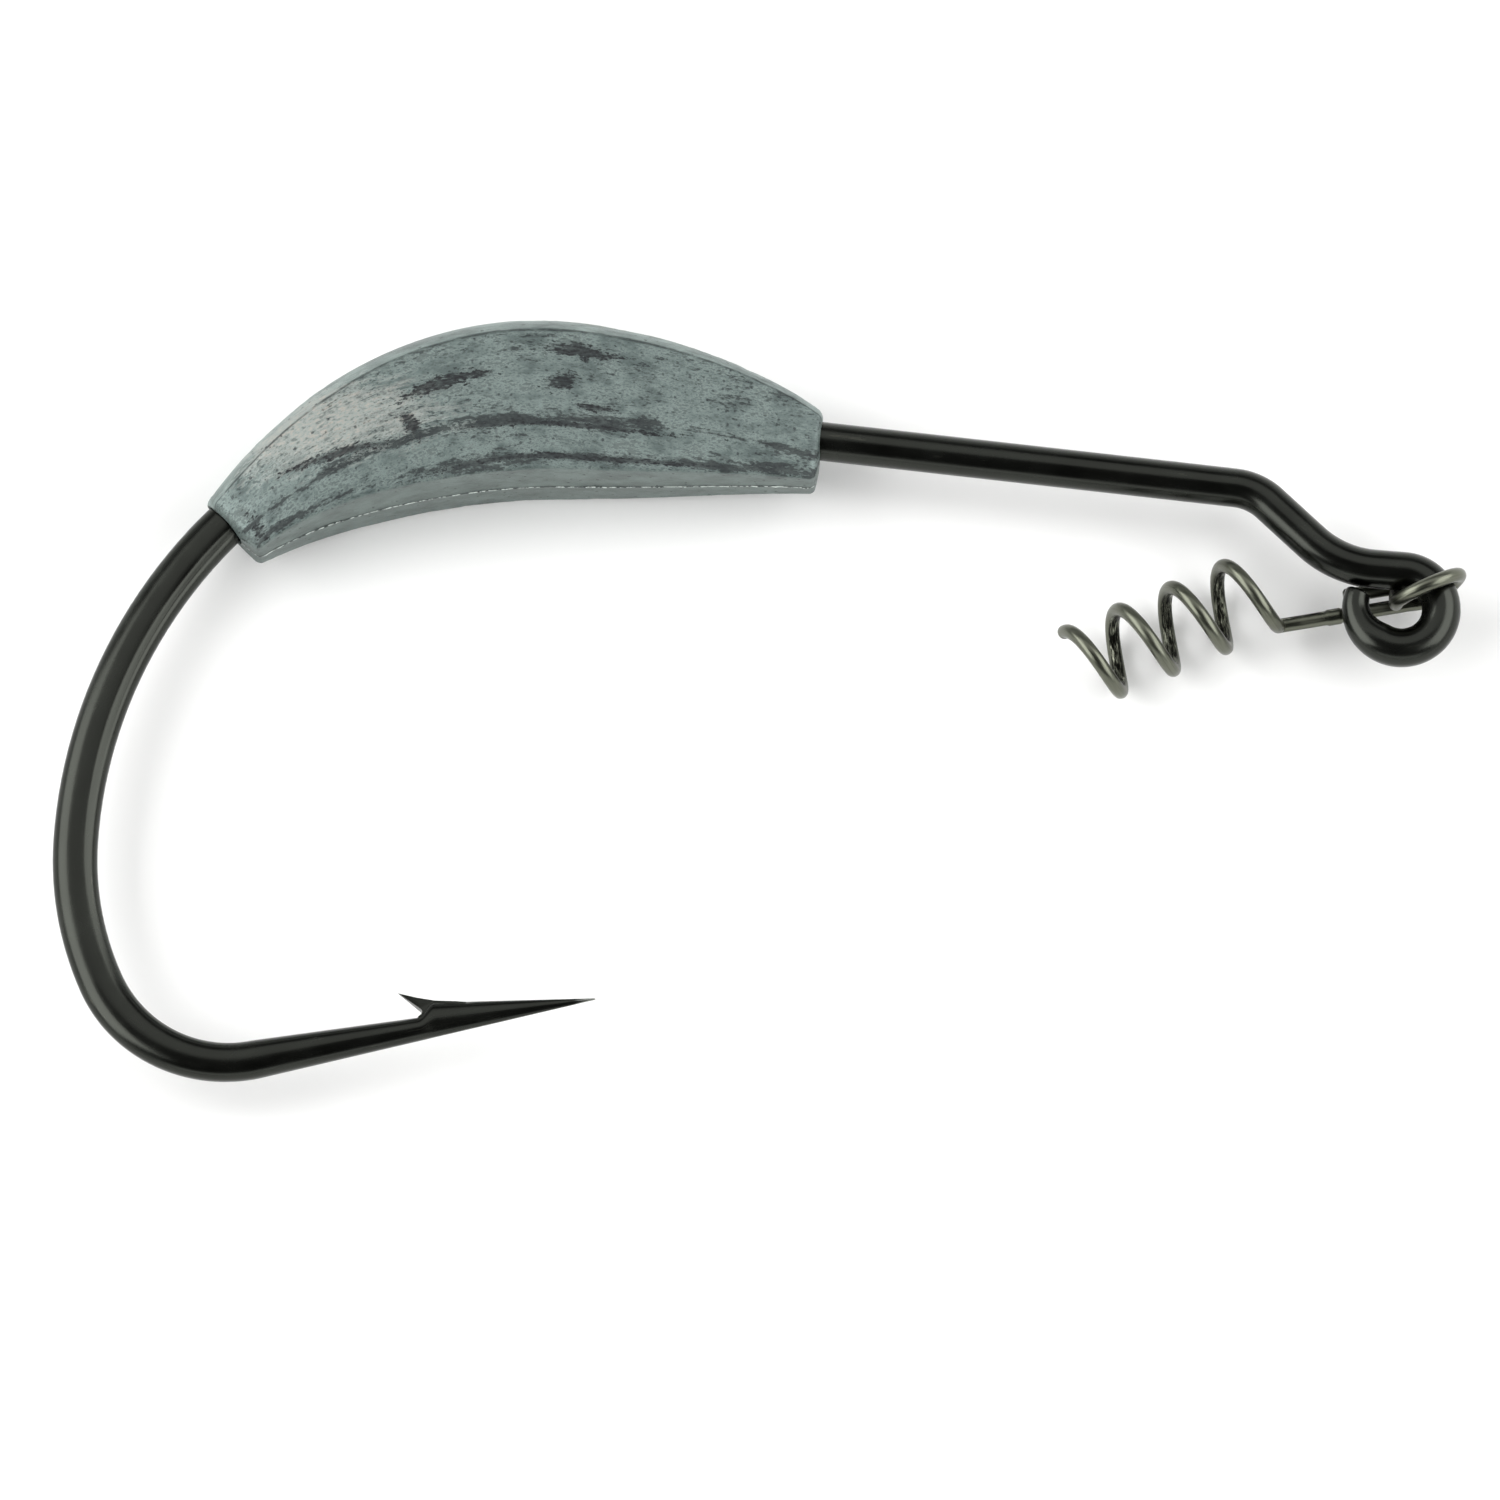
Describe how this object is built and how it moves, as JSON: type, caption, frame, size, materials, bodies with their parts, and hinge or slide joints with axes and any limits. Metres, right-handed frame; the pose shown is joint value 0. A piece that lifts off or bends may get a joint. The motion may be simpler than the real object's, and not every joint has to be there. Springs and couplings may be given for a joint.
{
  "type": "weighted swimbait hook",
  "caption": "Offset wide-gap fishing hook with a lead weight cast round its shank and a screw-in wire coil keeper hung on its eye.",
  "frame": {"origin": "centre of the hook's eye, in the middle plane of the hook, where the line is tied", "axes": "The hook lies on its side with its bending plane in XY. +X runs forward from the bend to the eye, +Y from the point side to the hook's back, +Z across the hook, up from the flat side of the weight that it lies on."},
  "size_m": [0.0707, 0.0396, 0.006],
  "materials": {
    "black_nickel_steel": "black-nickel plated forged high-carbon steel wire, glossy near-black",
    "cast_lead": "bare cast lead, dull grey-green with dark oxide stains and a fine mould parting line",
    "spring_wire": "bright drawn stainless spring wire, slightly smoky"
  },
  "bodies": {
    "hook": {"forged_hook": "black_nickel_steel", "belly_weight": "cast_lead"},
    "keeper": {"screw_lock_spring": "spring_wire"}
  },
  "joints": [
    {"name": "keeper_swing", "type": "hinge", "parent": "hook", "child": "keeper", "pos_m": [0, 0, 0], "axis": [0, 0, 1], "range_deg": [-14, 55]}
  ]
}
